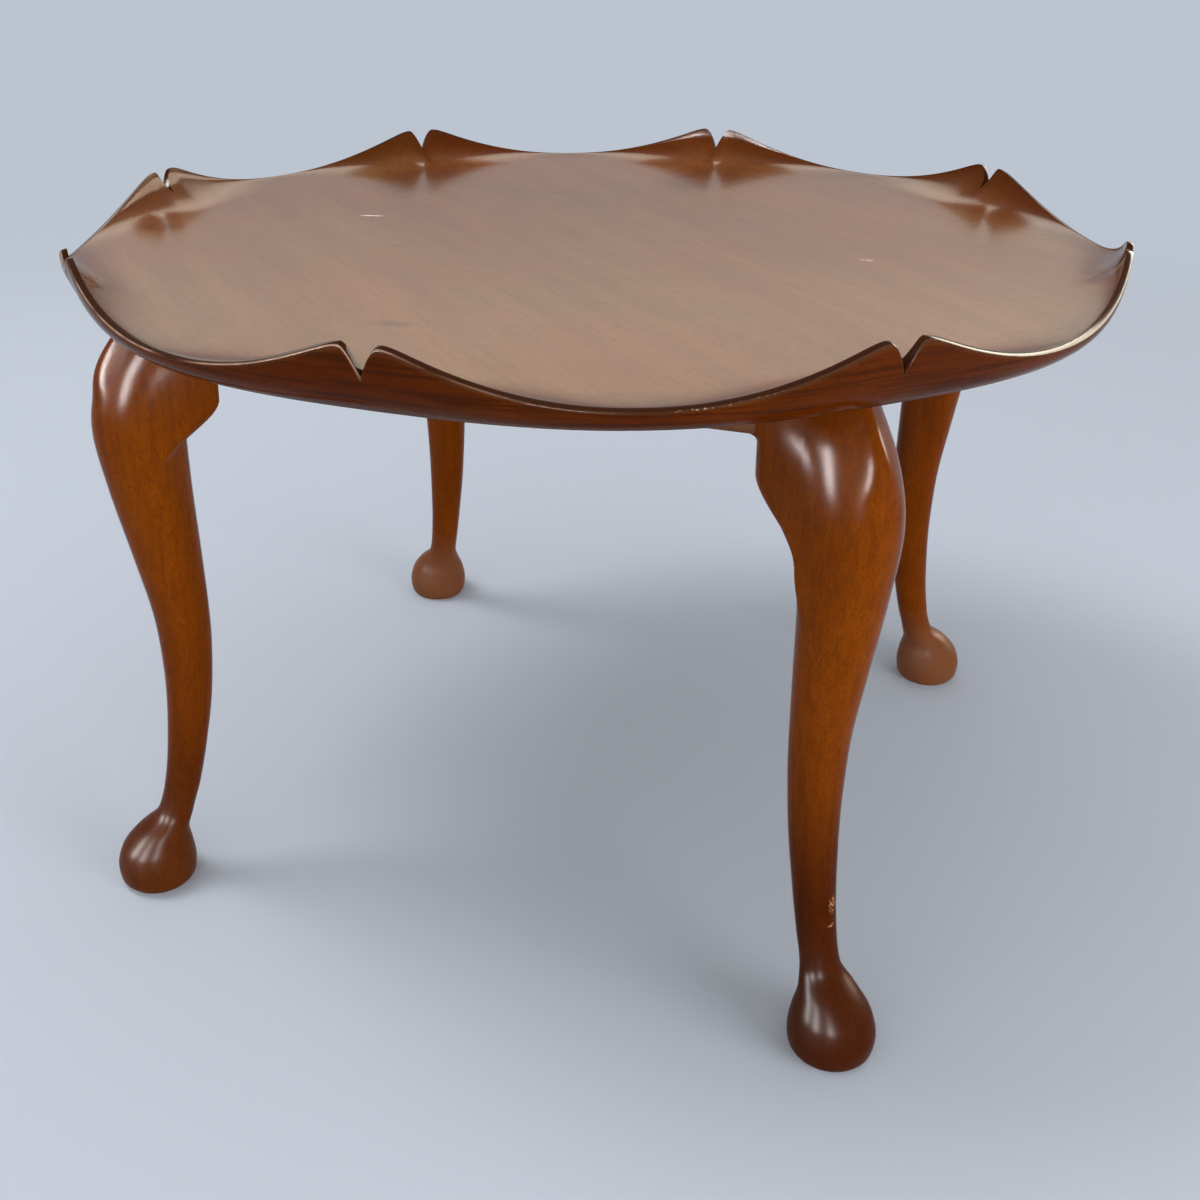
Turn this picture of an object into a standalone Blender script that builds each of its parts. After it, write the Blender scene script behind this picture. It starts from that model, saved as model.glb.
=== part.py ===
"""Coffee table: a round dished top with notched corners on cabriole legs. Metres, +Z up, front at -Y."""

import math

import bmesh
import bpy
from mathutils import Matrix, Vector

# Whole table
TABLE_HEIGHT = 0.530
TOP_RADIUS = 0.415
GAP = 0.0003
FULL_TURN = 2 * math.pi
QUARTER_TURN = math.pi / 2

# Dished top
CORNER_COUNT = 8
SCALLOP_DROP = 0.030
SCALLOP_POWER = 2.15
TIP_ROUND = 0.009
LIP_HEIGHT = 0.001
SLAB_THICKNESS = 0.0208
RIM_THICKNESS = 0.0048
RIM_EDGE = 0.0014
UNDERSIDE_SWEEP = 0.029
DISH_SWEEP = 0.0445
BOARD_JOINT_SHARES = (-0.54, -0.20, 0.20, 0.54)
BOARD_TURN = math.radians(-45)

# V notch in each corner of the rim
NOTCH_REACH = 0.0125
NOTCH_DEPTH = 0.0205
NOTCH_POWER = 1.7

# Cabriole leg: share of its height, then how far its back and front stand out from LEG_BACK
LEG_STANCE = 0.562
LEG_BACK = LEG_STANCE * TOP_RADIUS
LEG_STATIONS = (
    (0.000, 0.0196, 0.0720),  # sole of the foot
    (0.010, 0.0162, 0.0759),
    (0.033, 0.0150, 0.0774),  # foot at its widest
    (0.063, 0.0180, 0.0712),
    (0.094, 0.0202, 0.0590),
    (0.125, 0.0186, 0.0476),
    (0.171, 0.0137, 0.0423),  # ankle
    (0.250, 0.0072, 0.0386),
    (0.355, 0.0007, 0.0370),  # calf
    (0.470, -0.0019, 0.0392),
    (0.605, -0.0011, 0.0486),
    (0.730, 0.0000, 0.0584),
    (0.835, 0.0000, 0.0641),  # knee at its fullest
    (0.918, 0.0000, 0.0566),
    (1.000, 0.0000, 0.0356),  # top of the post
)
LEG_RING_SHARES = (
    0.0, 0.004, 0.010, 0.020, 0.033, 0.048, 0.063, 0.078, 0.094, 0.110, 0.130, 0.155, 0.185, 0.225, 0.280,
    0.345, 0.41, 0.475, 0.54, 0.60, 0.65, 0.695, 0.735, 0.768, 0.80, 0.835, 0.868, 0.90, 0.932, 0.965, 1.0,
)
KNEE_STARTS = 0.615
KNEE_FULL = 0.76
POST_STARTS = 0.79
POST_FULL = 0.90
OUTER_ANGLES = (45, 54, 66, 78, 90)
FLANK_ANGLES = (102, 118, 135)
SIDE_ANGLES = (155, 180)
INNER_ANGLES = (195, 210, 225)

# Apron rails, tenoned into the posts
RAIL_INSET = 0.008
RAIL_THICKNESS = 0.022
RAIL_DEPTH = 0.0297
TENON_THICKNESS = 0.009
TENON_HEIGHT = 0.015
TENON_SPARE = 0.0015

# Knee brackets, below the rails and up in front of them
BRACKET_LENGTH = 0.034
BRACKET_INSET = 0.0072
BRACKET_PROUD = 0.001
BRACKET_FLARE = 0.009
BRACKET_FLARE_HEIGHT = 0.0065
BRACKET_END_DROP = 0.0270
BRACKET_CHAMFER = 0.003
BRACKET_TOE = 0.0012
BRACKET_BOTTOM_SHARE = 0.778

# Corner blocks behind the posts
BLOCK_REACH = 0.074
BLOCK_HEIGHT = 0.024

# Screws up through the rails into the top
SCREW_SPACING = 0.220
SCREW_SHANK_RADIUS = 0.0020
SCREW_HEAD_RADIUS = 0.0042
SCREW_HEAD_HEIGHT = 0.0026
SCREW_BITE = 0.0105
SCREW_TIP = 0.004
SCREW_SLOT_WIDTH = 0.0011
SCREW_SLOT_DEPTH = 0.0012
COUNTERBORE_RADIUS = 0.0052
COUNTERBORE_DEPTH = 0.010

# Heights and faces that follow from the sizes above
RIM_LOW = TABLE_HEIGHT - SCALLOP_DROP
FLOOR_HEIGHT = RIM_LOW - LIP_HEIGHT
UNDERSIDE = FLOOR_HEIGHT - SLAB_THICKNESS
FRAME_TOP = UNDERSIDE - GAP
RAIL_BOTTOM = FRAME_TOP - RAIL_DEPTH
RAIL_INNER = LEG_BACK + RAIL_INSET
RAIL_FACE = RAIL_INNER + RAIL_THICKNESS
RAIL_MIDDLE = RAIL_INNER + RAIL_THICKNESS / 2
RAIL_END = LEG_BACK - GAP
TENON_LENGTH = RAIL_MIDDLE - TENON_THICKNESS / 2 - LEG_BACK - TENON_SPARE
TENON_CENTRE = RAIL_BOTTOM + RAIL_DEPTH / 2
BRACKET_END = LEG_BACK - BRACKET_LENGTH
BRACKET_BACK = RAIL_INNER + BRACKET_INSET
SCREW_SEAT = RAIL_BOTTOM + COUNTERBORE_DEPTH
HALF_SECTOR = math.pi / CORNER_COUNT

# Colours and finish: base colour, roughness, metallic
FINISHES = {
    "top_mahogany": ((0.20, 0.075, 0.028), 0.22, 0.0),
    "leg_mahogany": ((0.22, 0.075, 0.018), 0.28, 0.0),
    "frame_mahogany": ((0.16, 0.060, 0.022), 0.55, 0.0),
    "screw_steel": ((0.42, 0.40, 0.37), 0.38, 1.0),
}


# Small helpers
def clear_scene():
    for item in list(bpy.data.objects):
        bpy.data.objects.remove(item, do_unlink=True)


def make_materials():
    made = {}
    for name, (colour, roughness, metallic) in FINISHES.items():
        material = bpy.data.materials.new(name)
        material.use_nodes = True
        shader = material.node_tree.nodes["Principled BSDF"]
        shader.inputs["Base Color"].default_value = (*colour, 1.0)
        shader.inputs["Roughness"].default_value = roughness
        shader.inputs["Metallic"].default_value = metallic
        made[name] = material
    return made


def smooth_step(low, high, value):
    share = min(max((value - low) / (high - low), 0.0), 1.0)
    return share * share * (3 - 2 * share)


def loft(name, rings):
    """A closed mesh through equal rings of points, with a flat cap at each end."""
    shape = bmesh.new()
    loops = [[shape.verts.new(point) for point in ring] for ring in rings]
    count = len(loops[0])
    for lower, upper in zip(loops, loops[1:]):
        for i in range(count):
            j = (i + 1) % count
            shape.faces.new((lower[i], lower[j], upper[j], upper[i]))
    shape.faces.new(loops[0])
    shape.faces.new(loops[-1])
    bmesh.ops.recalc_face_normals(shape, faces=shape.faces)
    return mesh_from(shape, name)


def box(name, low, high):
    """A box between two corners."""
    shape = bmesh.new()
    bmesh.ops.create_cube(shape, size=1.0)
    size = Vector(high) - Vector(low)
    bmesh.ops.scale(shape, vec=size, verts=shape.verts)
    bmesh.ops.translate(shape, vec=Vector(low) + size / 2, verts=shape.verts)
    return mesh_from(shape, name)


def rod(name, stations, sides):
    """A turned piece on the Z axis through (radius, height) stations."""
    rings = []
    for radius, height in stations:
        turns = [FULL_TURN * i / sides for i in range(sides)]
        rings.append([(radius * math.cos(t), radius * math.sin(t), height) for t in turns])
    return loft(name, rings)


def mesh_from(shape, name):
    mesh = bpy.data.meshes.new(name)
    shape.to_mesh(mesh)
    shape.free()
    return mesh


def moved(mesh, offset):
    copy = mesh.copy()
    copy.transform(Matrix.Translation(offset))
    return copy


def combined(name, mesh, tools, operation):
    """The mesh after a Boolean with each tool in turn."""
    scene = bpy.context.scene.collection
    blank = bpy.data.objects.new(name + "_blank", mesh)
    scene.objects.link(blank)
    helpers = []
    for tool in tools:
        helper = bpy.data.objects.new(name + "_tool", tool)
        helper.hide_render = True
        helper.display_type = "WIRE"
        scene.objects.link(helper)
        helpers.append(helper)
        modifier = blank.modifiers.new(name="shape", type="BOOLEAN")
        modifier.operation = operation
        modifier.solver = "EXACT"
        modifier.object = helper
    graph = bpy.context.evaluated_depsgraph_get()
    result = bpy.data.meshes.new_from_object(blank.evaluated_get(graph))
    result.name = name
    for item in [blank, *helpers]:
        bpy.data.objects.remove(item, do_unlink=True)
    return result


def place(name, mesh, material, parent, turn=0.0, location=(0, 0, 0), crease=35):
    """A named piece of the table, turned about the table's axis."""
    if not mesh.materials:
        mesh.materials.append(material)
    for face in mesh.polygons:
        face.use_smooth = True
    mesh.set_sharp_from_angle(angle=math.radians(crease))
    piece = bpy.data.objects.new(name, mesh)
    piece.rotation_euler.z = turn
    piece.location = location
    piece.parent = parent
    bpy.context.scene.collection.objects.link(piece)
    return piece


# Dished top
def lobe_height(angle):
    """Rim height at an angle from the nearest notch, as if the notch weren't cut."""
    past_tip = max(angle * TOP_RADIUS - NOTCH_REACH, 0.0)
    run = math.hypot(past_tip, TIP_ROUND) - TIP_ROUND
    longest = math.hypot(HALF_SECTOR * TOP_RADIUS - NOTCH_REACH, TIP_ROUND) - TIP_ROUND
    return RIM_LOW + SCALLOP_DROP * max(1 - run / longest, 0.0) ** SCALLOP_POWER


def rim_height(angle):
    reach = min(angle * TOP_RADIUS / NOTCH_REACH, 1.0)
    return lobe_height(angle) - NOTCH_DEPTH * (1 - reach) ** NOTCH_POWER


def swept(start, reach, rise, height):
    """Radius at a height on a quarter ellipse that leaves its base level and ends upright."""
    drop = min(max(1 - height / rise, 0.0), 1.0)
    return start + reach * math.sqrt(1 - drop * drop)


def top_section(angle):
    """(radius, height) points from the flat underside, round the rim and down to the dish's floor."""
    lobe = lobe_height(angle)
    crest = rim_height(angle)
    under_radius = TOP_RADIUS - UNDERSIDE_SWEEP
    floor_radius = TOP_RADIUS - RIM_THICKNESS - DISH_SWEEP
    outer_top = crest - RIM_EDGE
    outer_rise = lobe - RIM_EDGE - UNDERSIDE
    inner_rise = lobe - FLOOR_HEIGHT
    inner_top = crest - min(RIM_EDGE, 0.4 * (crest - FLOOR_HEIGHT))
    points = [(under_radius, UNDERSIDE)]
    for share in (0.06, 0.22, 0.45, 0.72, 1.0):
        height = share * (outer_top - UNDERSIDE)
        points.append((swept(under_radius, UNDERSIDE_SWEEP, outer_rise, height), UNDERSIDE + height))
    inner = []
    for share in (1.0, 0.72, 0.45, 0.22, 0.06):
        height = share * (inner_top - FLOOR_HEIGHT)
        inner.append((swept(floor_radius, DISH_SWEEP, inner_rise, height), FLOOR_HEIGHT + height))
    points.append(((points[-1][0] + inner[0][0]) / 2, crest))
    return points + inner + [(floor_radius, FLOOR_HEIGHT)]


def top_angles():
    """(turn, angle from the nearest notch) of every section, in order round the top."""
    near = [reach / TOP_RADIUS for reach in (0.0007, 0.002, 0.0045, 0.008, NOTCH_REACH, 0.018, 0.025)]
    far = [HALF_SECTOR * share for share in (0.24, 0.36, 0.52, 0.70, 0.85)]
    half = near + far
    stations = []
    for corner in range(CORNER_COUNT):
        notch = 2 * HALF_SECTOR * corner
        stations += [(notch + angle, angle) for angle in half]
        stations.append((notch + HALF_SECTOR, HALF_SECTOR))
        stations += [(notch + 2 * HALF_SECTOR - angle, angle) for angle in reversed(half)]
    return stations


def top_blank():
    sections = [(turn, top_section(angle)) for turn, angle in top_angles()]
    rings = []
    for step in range(len(sections[0][1])):
        ring = []
        for turn, points in sections:
            radius, height = points[step]
            ring.append((radius * math.cos(turn), radius * math.sin(turn), height))
        rings.append(ring)
    return loft("top_blank", rings)


def screw_places():
    """Where each screw stands: the rail's quarter turn and its place in the room."""
    spots = []
    for quarter in range(4):
        for side in (-1, 1):
            spot = Vector((side * SCREW_SPACING / 2, RAIL_MIDDLE, 0))
            spots.append((quarter, Matrix.Rotation(quarter * QUARTER_TURN, 3, "Z") @ spot))
    return spots


def build_top(material, root):
    """Boards glued edge to edge, running corner to corner, with a pilot hole for every screw."""
    names = ("front_left_outer", "front_left_inner", "middle", "back_right_inner", "back_right_outer")
    blank = top_blank()
    joints = [share * TOP_RADIUS for share in BOARD_JOINT_SHARES]
    edges = [-2 * TOP_RADIUS, *joints, 2 * TOP_RADIUS]
    pilot_radius = SCREW_SHANK_RADIUS + GAP
    pilot_end = UNDERSIDE + SCREW_BITE + GAP
    pilot = rod("pilot", [(pilot_radius, UNDERSIDE - 0.005), (pilot_radius, pilot_end)], 12)
    turned = Matrix.Rotation(-BOARD_TURN, 3, "Z")
    spots = [turned @ spot for _, spot in screw_places()]
    for name, front, back in zip(names, edges, edges[1:]):
        low = (-2 * TOP_RADIUS, front + GAP / 2, 0)
        high = (2 * TOP_RADIUS, back - GAP / 2, 2 * TABLE_HEIGHT)
        board = combined("top_board_" + name, blank.copy(), [box("board", low, high)], "INTERSECT")
        near, far = front - pilot_radius, back + pilot_radius
        holes = [moved(pilot, spot) for spot in spots if near < spot.y < far]
        board = combined("top_board_" + name, board, holes, "DIFFERENCE")
        place("top_board_" + name, board, material, root, turn=BOARD_TURN, crease=30)


# Legs
def leg_profile(share):
    """Distance of the leg's back and front from the table's middle plane, at a share of its height."""
    places, backs, fronts = zip(*LEG_STATIONS)
    back = monotone_curve(places, backs, share)
    front = monotone_curve(places, fronts, share)
    return LEG_BACK + back, LEG_BACK + front


def monotone_curve(places, values, place):
    """A smooth curve through the values that never overshoots them."""
    slopes = [(v1 - v0) / (p1 - p0) for p0, p1, v0, v1 in zip(places, places[1:], values, values[1:])]
    tangents = [slopes[0]]
    for before, after in zip(slopes, slopes[1:]):
        tangents.append(2 * before * after / (before + after) if before * after > 0 else 0.0)
    tangents.append(slopes[-1])
    i = max(k for k in range(len(slopes)) if places[k] <= place or k == 0)
    width = places[i + 1] - places[i]
    t = min(max((place - places[i]) / width, 0.0), 1.0)
    start = (1 + 2 * t) * (1 - t) ** 2 * values[i] + t * (1 - t) ** 2 * width * tangents[i]
    end = t * t * (3 - 2 * t) * values[i + 1] + t * t * (t - 1) * width * tangents[i + 1]
    return start + end


def corner_power(share):
    """How square the outer corner is: 2 is round, and the post's top is nearly square."""
    return 2 + 0.35 * smooth_step(0.35, 0.80, share) + 5 * smooth_step(0.87, 1.0, share)


def flank(share, along):
    """Outer face of the knee and its brackets, at a distance along the rail from its middle."""
    back, front = leg_profile(share)
    half = (front - back) / 2
    middle = back + half
    slope = (front - RAIL_FACE - BRACKET_PROUD) / (middle - BRACKET_END - half / 2)
    reach = max(middle - along, 0.0)
    return front - slope * (reach * reach / (2 * half) if reach < half else reach - half / 2)


def leg_ring(share):
    """The outline of the leg at +X +Y at a share of its height, the same on both sides of the diagonal."""
    back, front = leg_profile(share)
    half = (front - back) / 2
    middle = back + half
    power = corner_power(share)
    knee = smooth_step(KNEE_STARTS, KNEE_FULL, share)
    post = smooth_step(POST_STARTS, POST_FULL, share)

    def round_point(degrees):
        c = math.cos(math.radians(degrees))
        s = math.sin(math.radians(degrees))
        size = half * (abs(c) ** power + abs(s) ** power) ** (-1 / power)
        return Vector((middle + size * c, middle + size * s))

    points = [round_point(degrees) for degrees in OUTER_ANGLES]
    for step, degrees in enumerate(FLANK_ANGLES, 1):
        along = middle - half * step / len(FLANK_ANGLES)
        points.append(round_point(degrees).lerp(Vector((along, flank(share, along))), knee))
    side_top = flank(share, back)
    for step, degrees in enumerate(SIDE_ANGLES, 1):
        square = Vector((back, side_top + (middle - side_top) * step / len(SIDE_ANGLES)))
        points.append(round_point(degrees).lerp(square, knee))
    for step, degrees in enumerate(INNER_ANGLES, 1):
        square = Vector((back, middle - half * step / len(INNER_ANGLES)))
        points.append(round_point(degrees).lerp(square, post))
    mirrored = [Vector((point.y, point.x)) for point in reversed(points[1:-1])]
    return points + mirrored


def mortises():
    """Two sockets in the post, one for each rail's tenon."""
    near = RAIL_MIDDLE - TENON_THICKNESS / 2 - GAP
    far = RAIL_MIDDLE + TENON_THICKNESS / 2 + GAP
    low = TENON_CENTRE - TENON_HEIGHT / 2 - GAP
    high = TENON_CENTRE + TENON_HEIGHT / 2 + GAP
    start = LEG_BACK - 0.02
    end = LEG_BACK + TENON_LENGTH
    return [
        box("mortise", (start, near, low), (end, far, high)),
        box("mortise", (near, start, low), (far, end, high)),
    ]


def build_legs(material, root):
    rings = []
    for share in LEG_RING_SHARES:
        rings.append([(point.x, point.y, share * FRAME_TOP) for point in leg_ring(share)])
    leg = combined("leg", loft("leg", rings), mortises(), "DIFFERENCE")
    for quarter, name in enumerate(("back_right", "back_left", "front_left", "front_right")):
        place("leg_" + name, leg, material, root, turn=quarter * QUARTER_TURN, crease=50)


# Knee brackets
def bracket_end(height):
    """Where the bracket stops along the rail: flared at the top, upright, then an S curve to the leg."""
    top = RAIL_BOTTOM - GAP
    bottom = BRACKET_BOTTOM_SHARE * FRAME_TOP
    toe = LEG_BACK - GAP - BRACKET_TOE
    turn_height = top - BRACKET_END_DROP
    flare_start = top - BRACKET_FLARE_HEIGHT
    if height > top:
        return BRACKET_END
    if height > flare_start:
        rise = (height - flare_start) / BRACKET_FLARE_HEIGHT
        return BRACKET_END - BRACKET_FLARE * (1 - math.sqrt(max(1 - rise * rise, 0.0)))
    if height > turn_height:
        return BRACKET_END
    return BRACKET_END + (toe - BRACKET_END) * smooth_step(turn_height, bottom, height)


def bracket_ring(height):
    share = height / FRAME_TOP
    inner = LEG_BACK - GAP
    end = bracket_end(height)
    chamfer = min(BRACKET_CHAMFER, 0.4 * (inner - end))
    outline = [(inner, flank(share, inner))]
    middle = (inner + end + chamfer) / 2
    outline.append((middle, flank(share, middle)))
    outline.append((end + chamfer, flank(share, end + chamfer)))
    outline.append((end, flank(share, end) - chamfer))
    outline.append((end, BRACKET_BACK))
    outline.append((inner, BRACKET_BACK))
    return outline


def build_brackets(material, root):
    top = RAIL_BOTTOM - GAP
    bottom = BRACKET_BOTTOM_SHARE * FRAME_TOP
    turn_height = top - BRACKET_END_DROP
    flare_start = top - BRACKET_FLARE_HEIGHT
    curve_shares = (0, 0.14, 0.3, 0.46, 0.62, 0.78, 0.9, 1)
    heights = [bottom + (turn_height - bottom) * share for share in curve_shares]
    heights += [(turn_height + flare_start) / 2, flare_start]
    heights += [flare_start + BRACKET_FLARE_HEIGHT * share for share in (0.45, 0.75, 0.92, 1)]
    heights += [RAIL_BOTTOM + RAIL_DEPTH * share for share in (0, 0.25, 0.5, 0.75, 1)]
    rings = [(height, bracket_ring(height)) for height in heights]
    plain = loft("bracket", [[(p, q, height) for p, q in ring] for height, ring in rings])
    mirrored = loft("bracket", [[(q, p, height) for p, q in ring] for height, ring in rings])
    face = RAIL_FACE + GAP
    room = TABLE_HEIGHT
    plain = combined("bracket", plain, [box("rail_room", (0, 0, top), (room, face, room))], "DIFFERENCE")
    mirrored = combined("bracket", mirrored, [box("rail_room", (0, 0, top), (face, room, room))], "DIFFERENCE")
    corners = ("back_right", "back_left", "front_left", "front_right")
    sides = ("back", "left", "front", "right")
    for quarter, corner in enumerate(corners):
        turn = quarter * QUARTER_TURN
        place(f"knee_bracket_{corner}_on_{sides[quarter]}_rail", plain, material, root, turn=turn)
        other = sides[(quarter + 3) % 4]
        place(f"knee_bracket_{corner}_on_{other}_rail", mirrored, material, root, turn=turn)


# Rails
def rail_blank():
    """A rail along X at +Y, stepped down to a tenon at each end."""
    tenon_end = RAIL_END + TENON_LENGTH
    body = (RAIL_THICKNESS / 2, RAIL_DEPTH / 2)
    tenon = (TENON_THICKNESS / 2, TENON_HEIGHT / 2)
    steps = [(-tenon_end, tenon), (-RAIL_END, tenon), (-RAIL_END, body)]
    steps += [(RAIL_END, body), (RAIL_END, tenon), (tenon_end, tenon)]
    rings = []
    for x, (half_y, half_z) in steps:
        corners = [(-half_y, -half_z), (half_y, -half_z), (half_y, half_z), (-half_y, half_z)]
        rings.append([(x, RAIL_MIDDLE + y, TENON_CENTRE + z) for y, z in corners])
    return loft("rail", rings)


def build_rails(material, root):
    hole_radius = SCREW_SHANK_RADIUS + GAP
    stations = [
        (COUNTERBORE_RADIUS, RAIL_BOTTOM - 0.005),
        (COUNTERBORE_RADIUS, SCREW_SEAT),
        (hole_radius, SCREW_SEAT),
        (hole_radius, FRAME_TOP + 0.005),
    ]
    hole = rod("screw_hole", stations, 16)
    holes = [moved(hole, (side * SCREW_SPACING / 2, RAIL_MIDDLE, 0)) for side in (-1, 1)]
    rail = combined("rail", rail_blank(), holes, "DIFFERENCE")
    for quarter, name in enumerate(("back", "left", "front", "right")):
        place("rail_" + name, rail, material, root, turn=quarter * QUARTER_TURN, crease=30)


# Corner blocks
def build_blocks(material, root):
    """Glue blocks in the corners, notched round the post."""
    face = RAIL_INNER - GAP
    post = LEG_BACK - GAP
    far = face - BLOCK_REACH
    outline = [(face, far), (face, post), (post, post), (post, face), (far, face)]
    top = FRAME_TOP
    block = loft("block", [[(x, y, z) for x, y in outline] for z in (top - BLOCK_HEIGHT, top)])
    for quarter, name in enumerate(("back_right", "back_left", "front_left", "front_right")):
        place("corner_block_" + name, block, material, root, turn=quarter * QUARTER_TURN, crease=30)


# Screws
def build_screws(material, root):
    """Slotted round-head wood screws, head down in the rail's counterbore."""
    head_top = SCREW_SEAT - GAP
    head_low = head_top - SCREW_HEAD_HEIGHT
    tip = UNDERSIDE + SCREW_BITE
    stations = [
        (SCREW_HEAD_RADIUS * 0.45, head_low),
        (SCREW_HEAD_RADIUS * 0.80, head_low + SCREW_HEAD_HEIGHT * 0.25),
        (SCREW_HEAD_RADIUS, head_low + SCREW_HEAD_HEIGHT * 0.65),
        (SCREW_HEAD_RADIUS, head_top),
        (SCREW_SHANK_RADIUS, head_top),
        (SCREW_SHANK_RADIUS, tip - SCREW_TIP),
        (SCREW_SHANK_RADIUS * 0.2, tip),
    ]
    half_slot = SCREW_SLOT_WIDTH / 2
    low = (-SCREW_HEAD_RADIUS * 2, -half_slot, head_low - 0.002)
    high = (SCREW_HEAD_RADIUS * 2, half_slot, head_low + SCREW_SLOT_DEPTH)
    screw = combined("screw", rod("screw", stations, 12), [box("slot", low, high)], "DIFFERENCE")
    sides = ("back", "left", "front", "right")
    for number, (quarter, spot) in enumerate(screw_places()):
        name = f"top_screw_{sides[quarter]}_{number % 2 + 1}"
        place(name, screw, material, root, location=spot, crease=40)


# Assembly
clear_scene()
materials = make_materials()
table = bpy.data.objects.new("coffee_table", None)
bpy.context.scene.collection.objects.link(table)
build_top(materials["top_mahogany"], table)
build_legs(materials["leg_mahogany"], table)
build_brackets(materials["leg_mahogany"], table)
build_rails(materials["frame_mahogany"], table)
build_blocks(materials["frame_mahogany"], table)
build_screws(materials["screw_steel"], table)
print("pieces:", len(table.children))
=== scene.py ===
# %% [markdown]
# A round coffee table in polished mahogany. Its top is a shallow dish whose rim rises and falls in
# eight scallops, with a V notch at each of the eight points, and it stands on four cabriole legs.
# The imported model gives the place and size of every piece, and the cells below dress those pieces:
# smooth fine meshes in place of the faceted solids, and a wood finish with grain, pores and wear.
# Lengths are metres, +Z is up and the front of the table faces -Y.

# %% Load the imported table
import math
from functools import partialmethod

import bmesh
import bpy
from mathutils import Matrix, Vector


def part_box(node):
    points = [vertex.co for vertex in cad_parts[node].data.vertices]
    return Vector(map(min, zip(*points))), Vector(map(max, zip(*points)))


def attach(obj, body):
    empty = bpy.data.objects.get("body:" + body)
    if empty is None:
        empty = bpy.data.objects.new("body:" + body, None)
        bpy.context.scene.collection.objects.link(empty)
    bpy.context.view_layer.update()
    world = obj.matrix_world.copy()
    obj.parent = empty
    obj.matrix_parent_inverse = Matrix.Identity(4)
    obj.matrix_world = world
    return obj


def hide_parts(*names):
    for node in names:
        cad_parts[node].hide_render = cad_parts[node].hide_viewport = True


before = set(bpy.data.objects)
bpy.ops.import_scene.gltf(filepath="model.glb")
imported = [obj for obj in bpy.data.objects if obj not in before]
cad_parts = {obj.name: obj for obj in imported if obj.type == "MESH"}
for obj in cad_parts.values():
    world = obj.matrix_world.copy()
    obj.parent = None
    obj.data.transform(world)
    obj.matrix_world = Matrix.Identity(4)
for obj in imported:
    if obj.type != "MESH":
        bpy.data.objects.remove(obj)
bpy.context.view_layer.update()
scene = bpy.context.scene
scene.view_settings.view_transform = "Standard"

# %% [markdown]
# The camera stands where the picture was taken, a little right of the table's middle and above its
# top. A shift of the lens puts the frame back where the fit found it. The focal length is given in
# picture units, because that is what a fit to the rim and the feet measures, and Blender's lens
# follows from it.

# %% Camera
FRAME_WIDTH = 1200
FOCAL_LENGTH = 1467.3
PICTURE_CENTRE = (-34.3, -174.0)
EYE = Vector((0.3794, -1.1215, 0.7764))
HEADING = math.radians(19.716)
TILT = math.radians(-20.383)
ROLL = math.radians(0.271)


def add_object(name, data):
    made = bpy.data.objects.new(name, data)
    scene.collection.objects.link(made)
    return made


camera_data = bpy.data.cameras.new("table_camera")
camera_data.sensor_width = 36
camera_data.lens = FOCAL_LENGTH / FRAME_WIDTH * camera_data.sensor_width
camera_data.shift_x = -PICTURE_CENTRE[0] / FRAME_WIDTH
camera_data.shift_y = PICTURE_CENTRE[1] / FRAME_WIDTH
camera = add_object("table_camera", camera_data)
turn = Matrix.Rotation(HEADING, 4, "Z") @ Matrix.Rotation(math.pi / 2 + TILT, 4, "X")
camera.matrix_world = Matrix.Translation(EYE) @ turn @ Matrix.Rotation(ROLL, 4, "Z")
scene.camera = camera
print("lens:", round(camera_data.lens, 2), "mm")

# %% [markdown]
# Node trees get long when every node takes four lines, so two small helpers come first. `node` adds
# one node, sets its options and links or sets its inputs. `Field` wraps a socket so that sums can be
# written as sums: each operator adds a Math node. Shader trees and geometry trees share Math nodes,
# so the same helpers serve the wood finish and the rule that shapes the top.


# %% Node helpers
def node(tree, kind, inputs=None, **options):
    """Adds a node, with its options and its inputs set or linked."""
    made = tree.nodes.new(kind)
    for name, value in options.items():
        setattr(made, name, value)
    for name, value in (inputs or {}).items():
        if isinstance(value, Field):
            value = value.socket
        if isinstance(value, bpy.types.NodeSocket):
            tree.links.new(value, made.inputs[name])
        else:
            made.inputs[name].default_value = value
    return made


class Field:
    """A number that varies over a surface, written with ordinary operators."""

    def __init__(self, socket):
        self.socket = socket

    def math(self, operation, *others):
        tree = self.socket.id_data
        inputs = dict(enumerate((self, *others)))
        return Field(node(tree, "ShaderNodeMath", inputs, operation=operation).outputs[0])

    __add__ = partialmethod(math, "ADD")
    __sub__ = partialmethod(math, "SUBTRACT")
    __mul__ = partialmethod(math, "MULTIPLY")
    __truediv__ = partialmethod(math, "DIVIDE")
    __pow__ = partialmethod(math, "POWER")

    def flipped(self):
        """One minus the field."""
        return self * -1.0 + 1.0

    def clamped(self):
        """The field kept between 0 and 1."""
        return self.math("MAXIMUM", 0.0).math("MINIMUM", 1.0)

    def step(self, low, high):
        """0 at low, 1 at high and smooth between. Low may be the larger number."""
        tree = self.socket.id_data
        inputs = {"Value": self, "From Min": low, "From Max": high}
        made = node(tree, "ShaderNodeMapRange", inputs, interpolation_type="SMOOTHSTEP")
        return Field(made.outputs["Result"])

    def pick(self, other, mask):
        """The field where mask is 0 and the other where it is 1."""
        return self + (other - self) * mask


print("helpers: node, Field")

# %% [markdown]
# The floor is a wide plain disc. Near the table it is a matt surface that takes the table's shadow,
# and further out it fades into the backdrop's own colour, so that no edge or horizon shows. The world
# shows that same colour to the camera and in reflections, and gives an even, plain fill light.

# %% Floor and backdrop
BACKDROP = (0.503, 0.552, 0.624, 1.0)
FLOOR_COLOUR = (0.526, 0.572, 0.645, 1.0)
FLOOR_RADIUS = 14.0
FADE_STARTS, FADE_ENDS = 1.3, 2.8
FILL_LIGHT = 0.68


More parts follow.
